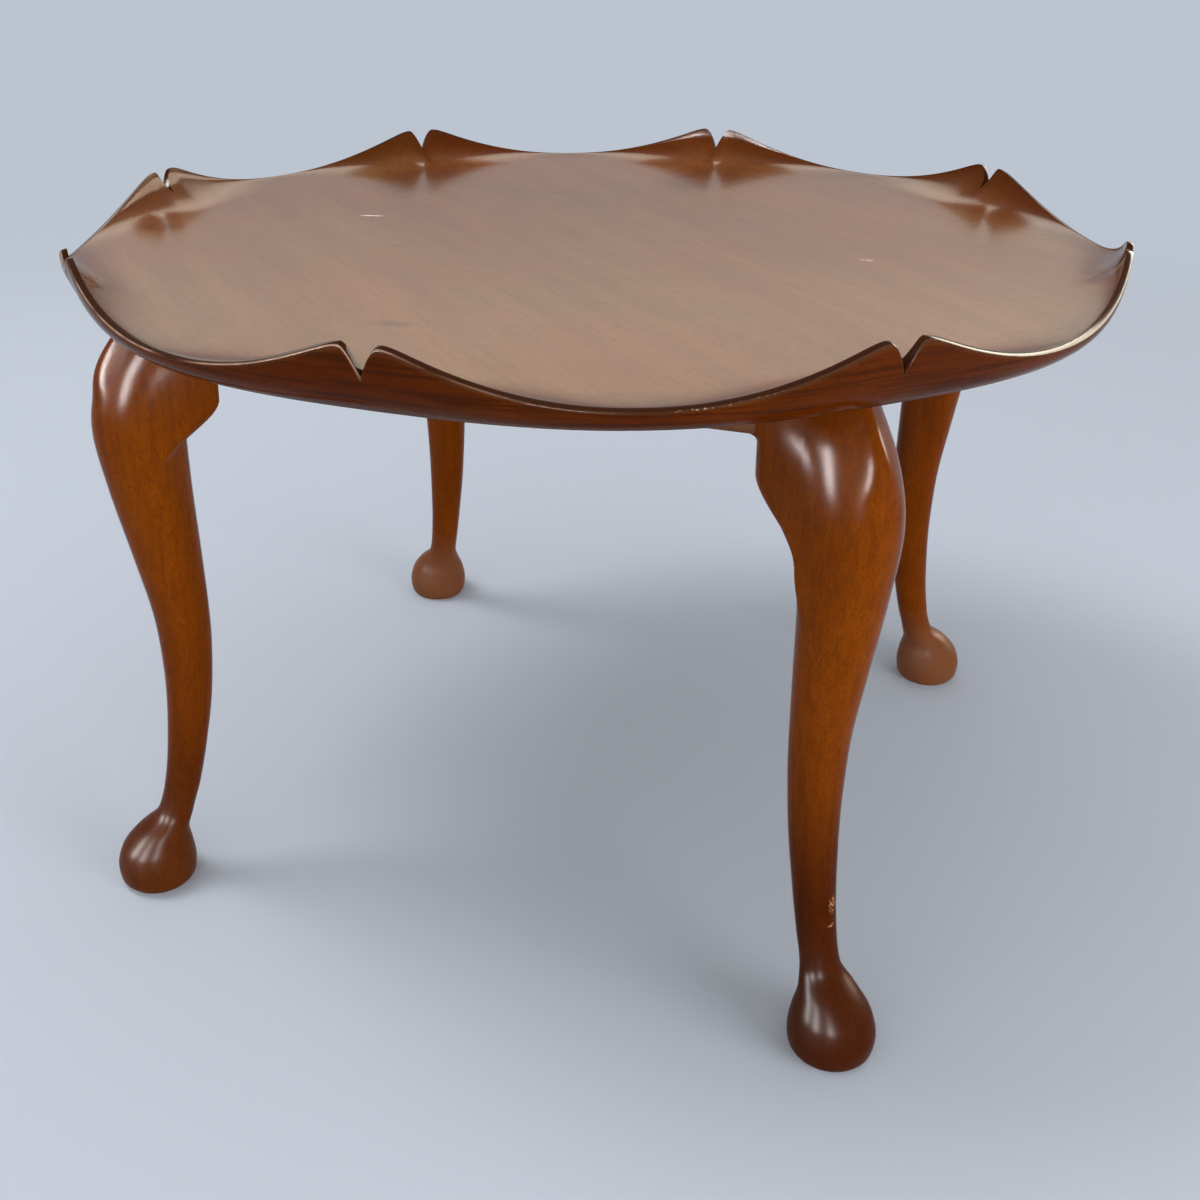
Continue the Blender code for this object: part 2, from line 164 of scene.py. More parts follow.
def empty_tree(owner):
    """The cleared node tree of a material or a world."""
    owner.use_nodes = True
    owner.node_tree.nodes.clear()
    return owner.node_tree


def object_place(tree):
    return node(tree, "ShaderNodeTexCoord").outputs["Object"]


def length(tree, vector):
    return Field(node(tree, "ShaderNodeVectorMath", {0: vector}, operation="LENGTH").outputs["Value"])


def as_mesh(shape, name):
    """Turns a working shape into a mesh and lets the shape go."""
    mesh = bpy.data.meshes.new(name)
    shape.to_mesh(mesh)
    shape.free()
    return mesh


def make_floor():
    shape = bmesh.new()
    bmesh.ops.create_circle(shape, cap_ends=True, segments=96, radius=FLOOR_RADIUS)
    floor = add_object("floor", as_mesh(shape, "floor"))
    material = bpy.data.materials.new("pale_floor")
    tree = empty_tree(material)
    matt = node(tree, "ShaderNodeBsdfDiffuse", {"Color": FLOOR_COLOUR})
    plain = node(tree, "ShaderNodeEmission", {"Color": BACKDROP})
    fade = length(tree, object_place(tree)).step(FADE_STARTS, FADE_ENDS)
    mixed = node(tree, "ShaderNodeMixShader", {0: fade, 1: matt.outputs[0], 2: plain.outputs[0]})
    node(tree, "ShaderNodeOutputMaterial", {"Surface": mixed.outputs[0]})
    floor.data.materials.append(material)


def make_world():
    scene.world = bpy.data.worlds.new("studio")
    tree = empty_tree(scene.world)
    rays = node(tree, "ShaderNodeLightPath").outputs
    seen = Field(rays["Is Camera Ray"]) + Field(rays["Is Glossy Ray"]) + Field(rays["Is Transmission Ray"])
    light = node(tree, "ShaderNodeBackground", {"Color": (1.0, 1.0, 1.0, 1.0), "Strength": FILL_LIGHT})
    shown = node(tree, "ShaderNodeBackground", {"Color": BACKDROP, "Strength": 1.0})
    inputs = {0: seen.clamped(), 1: light.outputs[0], 2: shown.outputs[0]}
    mixed = node(tree, "ShaderNodeMixShader", inputs)
    node(tree, "ShaderNodeOutputWorld", {"Surface": mixed.outputs[0]})


make_floor()
make_world()
print("floor radius:", FLOOR_RADIUS)

# %% [markdown]
# Polished wood shows its lamps, so a studio treats what is mirrored and what gives light apart. Three
# tall windows in front are only mirrored: each knee and foot carries them as upright streaks. Warm
# strips behind the table, brighter upwards, lie mirrored in the dish, as the even veil that old polish
# shows at a flat angle, and a panel beside them does the same for the inner wall at the left. Low boxes
# in front and at the right, which reach the back legs under the top, and a lamp high above give the
# light and aren't mirrored. Each lamp is written as its brightness, and its power follows from its size.

# %% Lamps
AIM = Vector((0.0, 0.0, 0.42))
WHITE = (1.0, 1.0, 1.0)
WARM = (1.0, 0.90, 0.72)
LAMPS = {
    "left_window": ((-2.20, -1.80, 1.15), (0.50, 1.35), 200.0, WHITE, "mirrored"),
    "middle_window": ((-1.05, -2.65, 1.15), (0.50, 1.35), 200.0, WHITE, "mirrored"),
    "right_window": ((0.80, -2.80, 1.25), (0.40, 1.20), 190.0, WHITE, "mirrored"),
    "low_box": ((-0.20, -2.90, 0.65), (3.6, 0.9), 2.3, WHITE, "lighting"),
    "right_box": ((2.00, -0.90, 0.60), (1.2, 0.8), 8.0, WHITE, "lighting"),
    "high_lamp": ((-2.4, -0.4, 4.3), (1.8, 1.8), 8.6, WHITE, "lighting"),
    "right_veil": ((1.90, 2.40, 1.45), (2.0, 1.7), 24.0, WARM, "mirrored"),
}
VEIL_PLACE, VEIL_FOOT = (-1.1, 2.60), 0.50
VEIL_WIDTH, VEIL_STEP = 4.2, 0.15
VEIL_STRENGTHS = (0.20, 0.15, 0.15, 0.26, 0.74, 1.5, 2.4, 2.9, 3.3, 3.7, 3.7, 3.7)
for strip, strength in enumerate(VEIL_STRENGTHS):
    strip_place = (*VEIL_PLACE, VEIL_FOOT + VEIL_STEP * (strip + 0.5))
    LAMPS[f"veil_{strip + 1}"] = (strip_place, (VEIL_WIDTH, VEIL_STEP), strength, WARM, "mirrored")


def make_lamp(name, place, size, brightness, colour, role):
    lamp = bpy.data.lights.new(name, "AREA")
    lamp.shape = "RECTANGLE"
    lamp.size, lamp.size_y = size
    lamp.energy = brightness * math.pi * size[0] * size[1]
    lamp.color = colour
    holder = add_object(name, lamp)
    holder.location = place
    holder.rotation_euler = (AIM - holder.location).to_track_quat("-Z", "Y").to_euler()
    holder.visible_diffuse = role == "lighting"
    holder.visible_glossy = role == "mirrored"
    return lamp.energy


for lamp_name, lamp_settings in LAMPS.items():
    print(lamp_name, round(make_lamp(lamp_name, *lamp_settings), 1), "W")

# %% [markdown]
# Mahogany is a red-brown wood with fine straight grain, short dark pores and broad soft changes of
# tone. The finish is worked out in the table's own space, so it runs through a piece as real grain
# does: every noise is drawn out along the grain, which is upright in the legs, lengthwise in the rails
# and runs corner to corner in the top. These helpers make such patterns and marks.


# %% Pattern helpers
def noise(tree, place, scale, detail=2.0, roughness=0.5):
    inputs = {"Vector": place, "Scale": scale, "Detail": detail, "Roughness": roughness}
    return Field(node(tree, "ShaderNodeTexNoise", inputs).outputs["Fac"])


def drawn_out(tree, stretch, turn=(0.0, 0.0, 0.0)):
    """Object coordinates, turned to the grain and drawn out along it."""
    inputs = {"Vector": object_place(tree), "Rotation": turn, "Scale": stretch}
    return node(tree, "ShaderNodeMapping", inputs, vector_type="TEXTURE").outputs["Vector"]


def spot(tree, centre, turn, size):
    """A soft-edged oval mark: two numbers place it on the top, three in space."""
    flat = len(centre) == 2
    inputs = {
        "Vector": object_place(tree),
        "Location": (*centre, 0.0) if flat else centre,
        "Rotation": (0.0, 0.0, turn),
        "Scale": (*size, 1000.0) if flat else size,
    }
    local = node(tree, "ShaderNodeMapping", inputs, vector_type="TEXTURE").outputs["Vector"]
    return length(tree, local).step(1.0, 0.25)


def blend(tree, mask, first, second, mode="MIX"):
    """One colour over another by a mask."""
    inputs = {0: mask, 6: first, 7: second}
    return node(tree, "ShaderNodeMix", inputs, data_type="RGBA", blend_type=mode).outputs[2]


print("pattern helpers: noise, drawn_out, spot, blend")

# %% [markdown]
# One class keeps a finish together while it is built. It starts from two tones of the wood, `lay` puts
# one more colour over them, and `shade` closes the material. The same pattern that darkens a pore also
# dents it a little and dulls its gloss, so those patterns are kept until then.


# %% Wood finish
class Wood:
    """One wood finish: its colour, height and gloss are built up layer by layer, then shaded."""

    def __init__(self, name, dark, light, axis, turn=(0.0, 0.0, 0.0), flecked=1.1):
        self.material = bpy.data.materials.new(name)
        self.tree = empty_tree(self.material)
        self.axis = axis
        self.turn = turn
        broad = self.noise(stretch=3.0, scale=6.0, detail=3.0)
        narrow = self.noise(stretch=9.0, scale=34.0)
        tone = broad * 0.65 + narrow * 0.35
        base = blend(self.tree, tone.step(0.30, 0.70), dark, light)
        fine = self.noise(stretch=2.2, scale=520.0, roughness=0.6)
        coarse = self.noise(stretch=1.6, scale=130.0, detail=3.0, roughness=0.6)
        fleck = fine * 0.55 + coarse * 0.45
        inputs = {"Color": base, "Value": fleck * flecked + (1.0 - flecked / 2)}
        self.colour = node(self.tree, "ShaderNodeHueSaturation", inputs).outputs["Color"]

    def noise(self, stretch, scale, detail=2.0, roughness=0.5):
        """Noise drawn out along the grain."""
        along = [1.0, 1.0, 1.0]
        along[self.axis] = stretch
        return noise(self.tree, drawn_out(self.tree, along, self.turn), scale, detail, roughness)

    def lay(self, mask, colour, mode="MIX"):
        """Puts one more colour over the wood by a mask."""
        self.colour = blend(self.tree, mask, self.colour, colour, mode)

    def add_grain(self, streak_colour, pore_colour, streaks, pores):
        """Long streaks, fine fibres and short dark pores."""
        streak = self.noise(stretch=22.0, scale=260.0, detail=3.0).step(0.42, 0.70)
        fibre = self.noise(stretch=16.0, scale=900.0)
        pore = self.noise(stretch=9.0, scale=1500.0, detail=1.0).step(0.60, 0.70)
        self.lay(streak * streaks, streak_colour)
        self.lay(pore * pores, pore_colour)
        self.height = fibre * 0.35 + pore * -0.65
        self.pores = pore

    def shade(self, roughness, refraction, bump, dulled=None):
        uneven = noise(self.tree, object_place(self.tree), 24.0, 3.0)
        rough = uneven * 0.08 + self.pores * 0.06 + (roughness - 0.04)
        if dulled is not None:
            rough = rough + dulled
        inputs = {"Height": self.height, "Strength": bump, "Distance": 0.0003}
        dented = node(self.tree, "ShaderNodeBump", inputs).outputs["Normal"]
        inputs = {"Base Color": self.colour, "Roughness": rough, "Normal": dented, "IOR": refraction}
        shader = node(self.tree, "ShaderNodeBsdfPrincipled", inputs)
        node(self.tree, "ShaderNodeOutputMaterial", {"Surface": shader.outputs[0]})
        return self.material


print("finish class: Wood")

# %% [markdown]
# The top is the glossiest of the finishes that come from that one wood. The dish has a few scratches
# and dark marks of use, each placed on the wood, and a soft dark patch below two of the back notches,
# which is a painted reflection of the raised corners. The rim's outer wall is darkened by painted shade
# and its inner slope by painted shade too. Its edge is a painted dark reflection, with a pale arris that
# is part wear and part painted highlight, paler on the left, and it is chipped in one place. The mesh
# stores which part of the rim a point is on.

# %% Finish of the top
LACQUER = 1.12
GRAIN_TURN = math.radians(-45)
TOP_TONES = ((0.158, 0.047, 0.015, 1), (0.222, 0.077, 0.024, 1))
TOP_STREAK, TOP_PORE = (0.120, 0.038, 0.010, 1), (0.070, 0.022, 0.008, 1)
CLOUD_TINT = (0.90, 1.05, 1.08, 1)
# Painted reflection: dark ovals in the dish where the two raised back corners are mirrored.
PAINTED_CORNER_REFLECTIONS = (((-0.245, 0.190), 0.2, (0.060, 0.105)), ((0.018, 0.295), -0.1, (0.060, 0.105)))
CORNER_REFLECTION_TINT = (0.68, 0.57, 0.50, 1)
SMUDGES = (
    ((-0.3618, -0.0827), 0.2, (0.026, 0.016)),
    ((-0.0478, -0.2743), 0.25, (0.022, 0.013)),
    ((-0.1430, -0.0746), 0.35, (0.012, 0.004)),
    ((-0.2037, -0.1775), 0.0, (0.004, 0.006)),
    ((0.0907, -0.2942), 0.0, (0.003, 0.005)),
    ((-0.0822, 0.0234), 0.3, (0.008, 0.004)),
)
SMUDGE_BROWN = (0.05, 0.017, 0.008, 1)
SCRATCHES = (((-0.2128, 0.0228), 0.30, (0.014, 0.0026)), ((0.2219, 0.0152), 0.1, (0.008, 0.0012)))
SCRATCH_PALE = (0.90, 0.80, 0.66, 1)
# The wall's tint is painted shade; its streaks are grain.
WALL_PAINTED_SHADE, WALL_STREAK = (0.43, 0.22, 0.03, 1), (0.020, 0.005, 0.001, 1)
WALL_FOOT, WALL_CLEAR = 0.480, 0.490
# Painted shade on the inner slope of the rim.
INNER_PAINTED_SHADE = (0.56, 0.40, 0.20, 1)
# The dark edge colour is a painted dark reflection; the pale one is part wear, part painted highlight.
EDGE_PAINTED_DARK_REFLECTION, EDGE_WEAR_AND_HIGHLIGHT = (0.022, 0.005, 0.001, 1), (0.62, 0.38, 0.27, 1)
EDGE_CHIPS = ((0.202, -0.361), 0.51, (0.040, 0.03))
CHIP_PALE = (0.62, 0.42, 0.30, 1)
RIM_PARTS = ("wall", "inner", "edge", "arris")


def lay_use_and_reflections(wood, place):
    """Cloudy tone, smudges and scratches on the dish, and the painted reflections of two corners."""
    tree = wood.tree
    wood.lay(noise(tree, place, 7.0, 3.0).step(0.35, 0.65), CLOUD_TINT, "MULTIPLY")
    # Painted reflections of the back corners, darkening the dish below two notches.
    for corner_reflection in PAINTED_CORNER_REFLECTIONS:
        wood.lay(spot(tree, *corner_reflection), CORNER_REFLECTION_TINT, "MULTIPLY")
    for smudge in SMUDGES:
        mark = spot(tree, *smudge) * noise(tree, place, 60.0, 3.0).step(0.3, 0.7)
        wood.lay(mark * 0.6, SMUDGE_BROWN)
    for scratch in SCRATCHES:
        wood.lay(spot(tree, *scratch) * noise(tree, place, 420.0).step(0.28, 0.55), SCRATCH_PALE)


def lay_rim(wood, place, side):
    """Painted shade and reflection on the rim, its worn and highlit arris; returns the wall's mask."""
    tree = wood.tree
    marks = [node(tree, "ShaderNodeAttribute", attribute_name=name) for name in RIM_PARTS]
    wall, inner, edge, arris = [Field(mark.outputs["Fac"]) for mark in marks]
    # Painted shade: the outer wall darkened.
    wood.lay(wall, WALL_PAINTED_SHADE, "MULTIPLY")
    streak = noise(tree, drawn_out(tree, (24.0, 24.0, 1.0)), 330.0, 3.0).step(0.45, 0.65)
    wood.lay(streak * wall * 0.55, WALL_STREAK)
    # Painted shade on the inner slope, lighter at the far left.
    wood.lay(inner * (side.step(-0.39, -0.33) * 0.75 + 0.25), INNER_PAINTED_SHADE, "MULTIPLY")
    # Painted dark reflection on the edge.
    wood.lay(edge * 0.9, EDGE_PAINTED_DARK_REFLECTION)
    # The pale arris, part wear and part painted highlight, strongest on the left.
    worn_and_highlit = arris * noise(tree, place, 16.0, 4.0).step(0.32, 0.60)
    wood.lay(worn_and_highlit * (side.step(0.15, -0.10) * 0.85 + 0.06), EDGE_WEAR_AND_HIGHLIGHT)
    chipped = arris * noise(tree, place, 420.0).step(0.54, 0.62) * spot(tree, *EDGE_CHIPS)
    wood.lay(chipped * 0.7, CHIP_PALE)
    return wall


def top_finish():
    wood = Wood("top_wood", *TOP_TONES, axis=0, turn=(0, 0, GRAIN_TURN), flecked=0.6)
    wood.add_grain(TOP_STREAK, TOP_PORE, streaks=0.25, pores=0.30)
    place = object_place(wood.tree)
    along = node(wood.tree, "ShaderNodeSeparateXYZ", {0: place}).outputs
    lay_use_and_reflections(wood, place)
    wall = lay_rim(wood, place, Field(along["X"]))
    dulled = wall * Field(along["Z"]).step(WALL_CLEAR, WALL_FOOT) * 0.35
    return wood.shade(roughness=0.15, refraction=LACQUER, bump=0.08, dulled=dulled)


TOP_WOOD = top_finish()
print("top finish:", len(TOP_WOOD.node_tree.nodes), "nodes")

# %% [markdown]
# The legs are a warmer orange brown. Their feet are dulled and speckled where they get knocked, and
# paler, most at the back, partly from dust and partly from a painted sheen. The two front feet are
# darker, and the front right ankle has lost its polish in two small chips. The frame under the top
# hardly shows, so makers leave it with a thin dull stain, and its grain follows each rail. The screws
# are plain dulled steel.

# %% Finishes of the legs, the frame and the screws
LEG_TONES = ((0.108, 0.020, 0.0004, 1), (0.180, 0.039, 0.0008, 1))
LEG_STREAK, LEG_PORE = (0.085, 0.016, 0.0004, 1), (0.050, 0.010, 0.0004, 1)
FOOT_HEIGHT = 0.06
FOOT_DULLED = 0.12
# The pale foot colour is part dust, part painted sheen.
FOOT_DUST_AND_SHEEN, FOOT_SPECK = (0.175, 0.070, 0.034, 1), (0.20, 0.080, 0.018, 1)
DARK_FEET = (
    ((0.285, -0.285, 0.055), 0.0, (0.20, 0.20, 0.20), (0.38, 0.31, 0.22, 1)),
    ((-0.285, -0.285, 0.045), 0.0, (0.13, 0.13, 0.13), (0.62, 0.58, 0.45, 1)),
)
ANKLE_CHIPS = (
    ((0.2725, -0.2640, 0.1080), 0.0, (0.0055, 0.0055, 0.0090)),
    ((0.2730, -0.2665, 0.0920), 0.0, (0.0055, 0.0055, 0.0022)),
)
ANKLE_BARE = (0.45, 0.22, 0.09, 1)
FRAME_TONES = ((0.12, 0.042, 0.014, 1), (0.20, 0.078, 0.028, 1))
FRAME_STREAK, FRAME_PORE = (0.08, 0.028, 0.010, 1), (0.04, 0.014, 0.006, 1)
STEEL_TONES = ((0.30, 0.28, 0.25, 1), (0.52, 0.50, 0.47, 1))


def leg_finish():
    wood = Wood("leg_wood", *LEG_TONES, axis=2)
    wood.add_grain(LEG_STREAK, LEG_PORE, streaks=0.35, pores=0.5)
    tree = wood.tree
    place = object_place(tree)
    along = node(tree, "ShaderNodeSeparateXYZ", {0: place}).outputs
    height = Field(along["Z"])
    behind = Field(along["Y"]).step(-0.1, 0.1)
    low = height.step(1.6 * FOOT_HEIGHT, 0.5 * FOOT_HEIGHT) * (noise(tree, place, 30.0, 3.0) * 0.6 + 0.5)
    # Painted sheen with dust: the feet paler, most at the back.
    wood.lay(low * (behind * 0.7 + 0.15), FOOT_DUST_AND_SHEEN)
    wood.lay(noise(tree, place, 650.0).step(0.50, 0.66) * low * 0.35, FOOT_SPECK)
    for *foot, tint in DARK_FEET:
        wood.lay(spot(tree, *foot), tint, "MULTIPLY")
    for chip in ANKLE_CHIPS:
        wood.lay(spot(tree, *chip) * noise(tree, place, 520.0).step(0.46, 0.58) * 0.8, ANKLE_BARE)
    dulled = height.step(2.0 * FOOT_HEIGHT, FOOT_HEIGHT) * FOOT_DULLED
    return wood.shade(roughness=0.20, refraction=LACQUER, bump=0.08, dulled=dulled)


def frame_finish(name, axis):
    wood = Wood(name, *FRAME_TONES, axis=axis)
    wood.add_grain(FRAME_STREAK, FRAME_PORE, streaks=0.5, pores=0.6)
    return wood.shade(roughness=0.55, refraction=LACQUER, bump=0.3)


def steel_finish():
    material = bpy.data.materials.new("screw_steel")
    material.use_nodes = True
    tree = material.node_tree
    shader = tree.nodes["Principled BSDF"]
    dull = noise(tree, object_place(tree), 700.0, 3.0)
    tree.links.new(blend(tree, dull, *STEEL_TONES), shader.inputs["Base Color"])
    tree.links.new((dull * 0.25 + 0.28).socket, shader.inputs["Roughness"])
    shader.inputs["Metallic"].default_value = 1.0
    return material


LEG_WOOD = leg_finish()
RAIL_WOOD = {"x": frame_finish("frame_wood_lengthwise", 0), "y": frame_finish("frame_wood_crosswise", 1)}
STEEL = steel_finish()
print("finishes:", LEG_WOOD.name, *[wood.name for wood in RAIL_WOOD.values()], STEEL.name)

# %% [markdown]
# The top follows a rule, so Geometry Nodes make it. A flat grid is bent round: its columns become
# turns round the table, crowded towards the eight notches, and its rows become one profile. Every size
# is a named input of the tree, so the scallops can be changed in the modifier's panel.

# %% Sizes and grid of the top
TOP_SIZES = {
    "Corners": 8.0,
    "Rim radius": 0.4149,
    "Tip height": 0.5299,
    "Tip round": 0.009,
    "Scallop drop": 0.030,
    "Scallop power": 2.15,
    "Lip": 0.001,
    "Slab": 0.0207,
    "Rim thickness": 0.0048,
    "Edge": 0.0022,
    "Underside sweep": 0.038,
    "Wall softness": 1.0,
    "Dish sweep": 0.0500,
    "Dish softness": 1.15,
    "Notch reach": 0.0125,
    "Notch depth": 0.0205,
    "Notch power": 1.7,
}
WALL_ROWS, EDGE_ROWS, DISH_ROWS = 24, 10, 30
COLUMNS_PER_CORNER = 72
EVEN_SHARE, CROWDING = 0.12, 2.4


def bent_grid(tree, size):
    """A grid, with the turn and the profile row of each of its points."""
    corners = int(TOP_SIZES["Corners"])
    rows = WALL_ROWS + EDGE_ROWS + DISH_ROWS
    counts = {"Vertices X": corners * COLUMNS_PER_CORNER + 1, "Vertices Y": rows + 1}
    grid = node(tree, "GeometryNodeMeshGrid", {"Size X": 1.0, "Size Y": 1.0, **counts})
    spread = node(tree, "ShaderNodeSeparateXYZ", {0: node(tree, "GeometryNodeInputPosition").outputs[0]})
    around = (Field(spread.outputs["X"]) + 0.5) * size["Corners"]
    corner = around.math("ROUND")
    half_sector = size["Corners"] ** -1.0 * math.pi
    share = (around - corner).math("ABSOLUTE") * 2.0
    angle = half_sector * (share * EVEN_SHARE + share**CROWDING * (1 - EVEN_SHARE))
    turn = corner * half_sector * 2.0 + (around - corner).math("SIGN") * angle
    row = (Field(spread.outputs["Y"]) + 0.5) * float(rows)
    return grid.outputs["Mesh"], half_sector, angle, turn, row


print("profile rows:", WALL_ROWS + EDGE_ROWS + DISH_ROWS)

# %% [markdown]
# The edge's height at each turn is the scallop's, less the notch near a tip, and each tip is rounded.
# The profile leaves the flat underside, sweeps up the outer wall, rounds the edge and sweeps down into
# the dish. Both sweeps are quarter ovals, because a gouge and a scraper leave such a hollow, and an oval
# starts level, so no line shows where the floor of the dish ends.

# %% Profile of the rim
EDGE_POWER = 1.2


def rim_heights(size, half_sector, angle):
    """Height of the scallop and of the real edge, at an angle from the nearest notch."""
    rounding = size["Tip round"]

    def run(place):
        """Distance past the tip, starting gently."""
        past = (place * size["Rim radius"] - size["Notch reach"]).math("MAXIMUM", 0.0)
        return (past * past + rounding * rounding).math("SQRT") - rounding

    share = (run(angle) / run(half_sector)).flipped().clamped()
    lobe = size["Tip height"] - (share ** size["Scallop power"]).flipped() * size["Scallop drop"]
    inside = (angle * size["Rim radius"] / size["Notch reach"]).flipped().clamped()
    return lobe, lobe - inside ** size["Notch power"] * size["Notch depth"]


def sweep(start, reach, base, rise, softness, top, share=None):
    """Radius and height on a quarter oval that leaves its base level."""
    angle = (((top - base) / rise) ** (softness**-1.0)).flipped().math("ARCCOSINE")
    if share is not None:
        angle = angle * share
    climb = angle.math("COSINE").flipped().math("MAXIMUM", 0.0) ** softness
    return start + reach * angle.math("SINE"), base + rise * climb


def rim_profile(size, lobe, crest, row):
    """Radius and height of each point, and its share of the way from the edge to the dish's floor."""
    floor = size["Tip height"] - size["Scallop drop"] - size["Lip"]
    underside = floor - size["Slab"]
    reach, dish_reach = size["Underside sweep"], size["Dish sweep"]
    under_radius = size["Rim radius"] - reach
    floor_radius = size["Rim radius"] - size["Rim thickness"] - dish_reach
    rise = lobe - size["Edge"] - underside
    wall = (under_radius, reach, underside, rise, size["Wall softness"], crest - size["Edge"])
    dish = (floor_radius, dish_reach, floor, lobe - floor, size["Dish softness"], crest)
    wall_share = (row / WALL_ROWS).clamped()
    edge_share = ((row - WALL_ROWS) / EDGE_ROWS).clamped()
    dish_share = ((row - WALL_ROWS - EDGE_ROWS) / DISH_ROWS).clamped()
    wall_radius, wall_height = sweep(*wall, wall_share)
    dish_radius, dish_height = sweep(*dish, dish_share.flipped())

    arc = edge_share * (math.pi / 2)
    across = arc.math("COSINE").math("MAXIMUM", 0.0) ** EDGE_POWER
    climbed = arc.math("SINE") ** EDGE_POWER
    edge_radius = sweep(*dish)[0].pick(sweep(*wall)[0], across)
    edge_height = crest - size["Edge"] * climbed.flipped()
    on_edge = edge_share.math("GREATER_THAN", 0.0)
    in_dish = dish_share.math("GREATER_THAN", 0.0)
    radius = wall_radius.pick(edge_radius, on_edge).pick(dish_radius, in_dish)
    height = wall_height.pick(edge_height, on_edge).pick(dish_height, in_dish)
    return radius, height, dish_share


print("rim thickness:", TOP_SIZES["Rim thickness"])

# %% [markdown]
# Each geometry tree here starts and ends in the same way. Its inputs are declared by name, and at the
# end copies are made real and get their finish, because an instance isn't a mesh of its own. A modifier
# runs the tree, and its result is kept as a plain mesh.


# %% Geometry tree helpers
def rule_tree(name, kinds, result):
    """An empty geometry tree with named inputs and one output."""
    tree = bpy.data.node_groups.new(name, "GeometryNodeTree")
    identifiers = {}
    for label, kind in kinds.items():
        made = tree.interface.new_socket(label, in_out="INPUT", socket_type="NodeSocket" + kind)
        identifiers[label] = made.identifier
    tree.interface.new_socket(result, in_out="OUTPUT", socket_type="NodeSocketGeometry")
    return tree, tree.nodes.new("NodeGroupInput"), identifiers


def end_tree(tree, geometry, finish, result):
    real = node(tree, "GeometryNodeRealizeInstances", {"Geometry": geometry})
    finished = node(tree, "GeometryNodeSetMaterial", {"Geometry": real.outputs[0], "Material": finish})
    node(tree, "NodeGroupOutput", {result: finished.outputs[0]})


def realized(name, tree, identifiers, values):
    """The plain mesh that a geometry tree makes, with the modifier gone."""
    holder = add_object(name, bpy.data.meshes.new(name))
    modifier = holder.modifiers.new("rule", "NODES")
    modifier.node_group = tree
    for label, value in values.items():
        modifier[identifiers[label]] = value
    graph = bpy.context.evaluated_depsgraph_get()
    mesh = bpy.data.meshes.new_from_object(holder.evaluated_get(graph))
    bpy.data.objects.remove(holder, do_unlink=True)
    mesh.name = name
    return mesh


print("tree helpers: rule_tree, end_tree, realized")

# %% [markdown]
# Now the tree of the top is put together. Each point first stores which part of the rim it is on, for
# the finish to read, and is then moved to its place.

# %% Make the rim band
ARRIS_ROW = WALL_ROWS + 2.0


def mark_rim(tree, mesh, row, dish_share):
    """Stores the parts of the rim as attributes."""
    half_edge, dish_row = EDGE_ROWS / 2, WALL_ROWS + EDGE_ROWS
    from_edge = (row - (WALL_ROWS + half_edge)).math("ABSOLUTE")
    marks = {
        "edge": from_edge.step(half_edge + 1.0, half_edge - 1.0),
        "arris": (row - ARRIS_ROW).math("ABSOLUTE").step(2.0, 0.5),
        "wall": row.step(WALL_ROWS + 1.0, WALL_ROWS - 1.0),
        "inner": dish_share.step(0.85, 0.25) * row.step(dish_row - 1.0, dish_row),
    }
    for name, value in marks.items():
        inputs = {"Geometry": mesh, "Name": name, "Value": value}
        marked = node(tree, "GeometryNodeStoreNamedAttribute", inputs, data_type="FLOAT", domain="POINT")
        mesh = marked.outputs[0]
    return mesh


def scalloped_tree():
    kinds = {**dict.fromkeys(TOP_SIZES, "Float"), "Finish": "Material"}
    tree, entry, identifiers = rule_tree("scalloped_top", kinds, "Top")
    size = {name: Field(entry.outputs[name]) for name in TOP_SIZES}
    mesh, half_sector, angle, turn, row = bent_grid(tree, size)
    lobe, crest = rim_heights(size, half_sector, angle)
    radius, height, dish_share = rim_profile(size, lobe, crest, row)
    mesh = mark_rim(tree, mesh, row, dish_share)
    inputs = {"X": radius * turn.math("COSINE"), "Y": radius * turn.math("SINE"), "Z": height}
    place = node(tree, "ShaderNodeCombineXYZ", inputs).outputs[0]
    shape = node(tree, "GeometryNodeSetPosition", {"Geometry": mesh, "Position": place}).outputs[0]
    closed = node(tree, "GeometryNodeMergeByDistance", {"Geometry": shape, "Distance": 0.00001})
    end_tree(tree, closed.outputs[0], entry.outputs["Finish"], "Top")
    return tree, identifiers


rim_band = realized("rim_band", *scalloped_tree(), {**TOP_SIZES, "Finish": TOP_WOOD})
print("rim band:", len(rim_band.vertices), "points,", len(rim_band.polygons), "faces")

# %% [markdown]
# A top this wide is glued up from boards, and the joints of a good top can't be seen. So the finished
# shape is cut through at the glue lines, and each board is closed with a flat face where it was cut.
# The boards touch, and their shared edge is marked sharp, so the light runs across the joint unbroken.

# %% Cut the top into its boards
JOINT_SHARES = (-0.54, -0.20, 0.20, 0.54)
BOARD_RADIUS = 0.415
BOARD_NAMES = ("front_left_outer", "front_left_inner", "middle", "back_right_inner", "back_right_outer")
SHARP = math.radians(40)


def close_holes(shape):
    open_edges = [edge for edge in shape.edges if edge.is_boundary]
    bmesh.ops.holes_fill(shape, edges=open_edges, sides=0)


def cut_away(shape, place, direction):
    """Removes what lies beyond a plane, on the side that the direction points to."""
    parts = [*shape.verts, *shape.edges, *shape.faces]
    options = {"clear_outer": True, "dist": 1e-6}
    bmesh.ops.bisect_plane(shape, geom=parts, plane_co=place, plane_no=direction, **options)
    close_holes(shape)


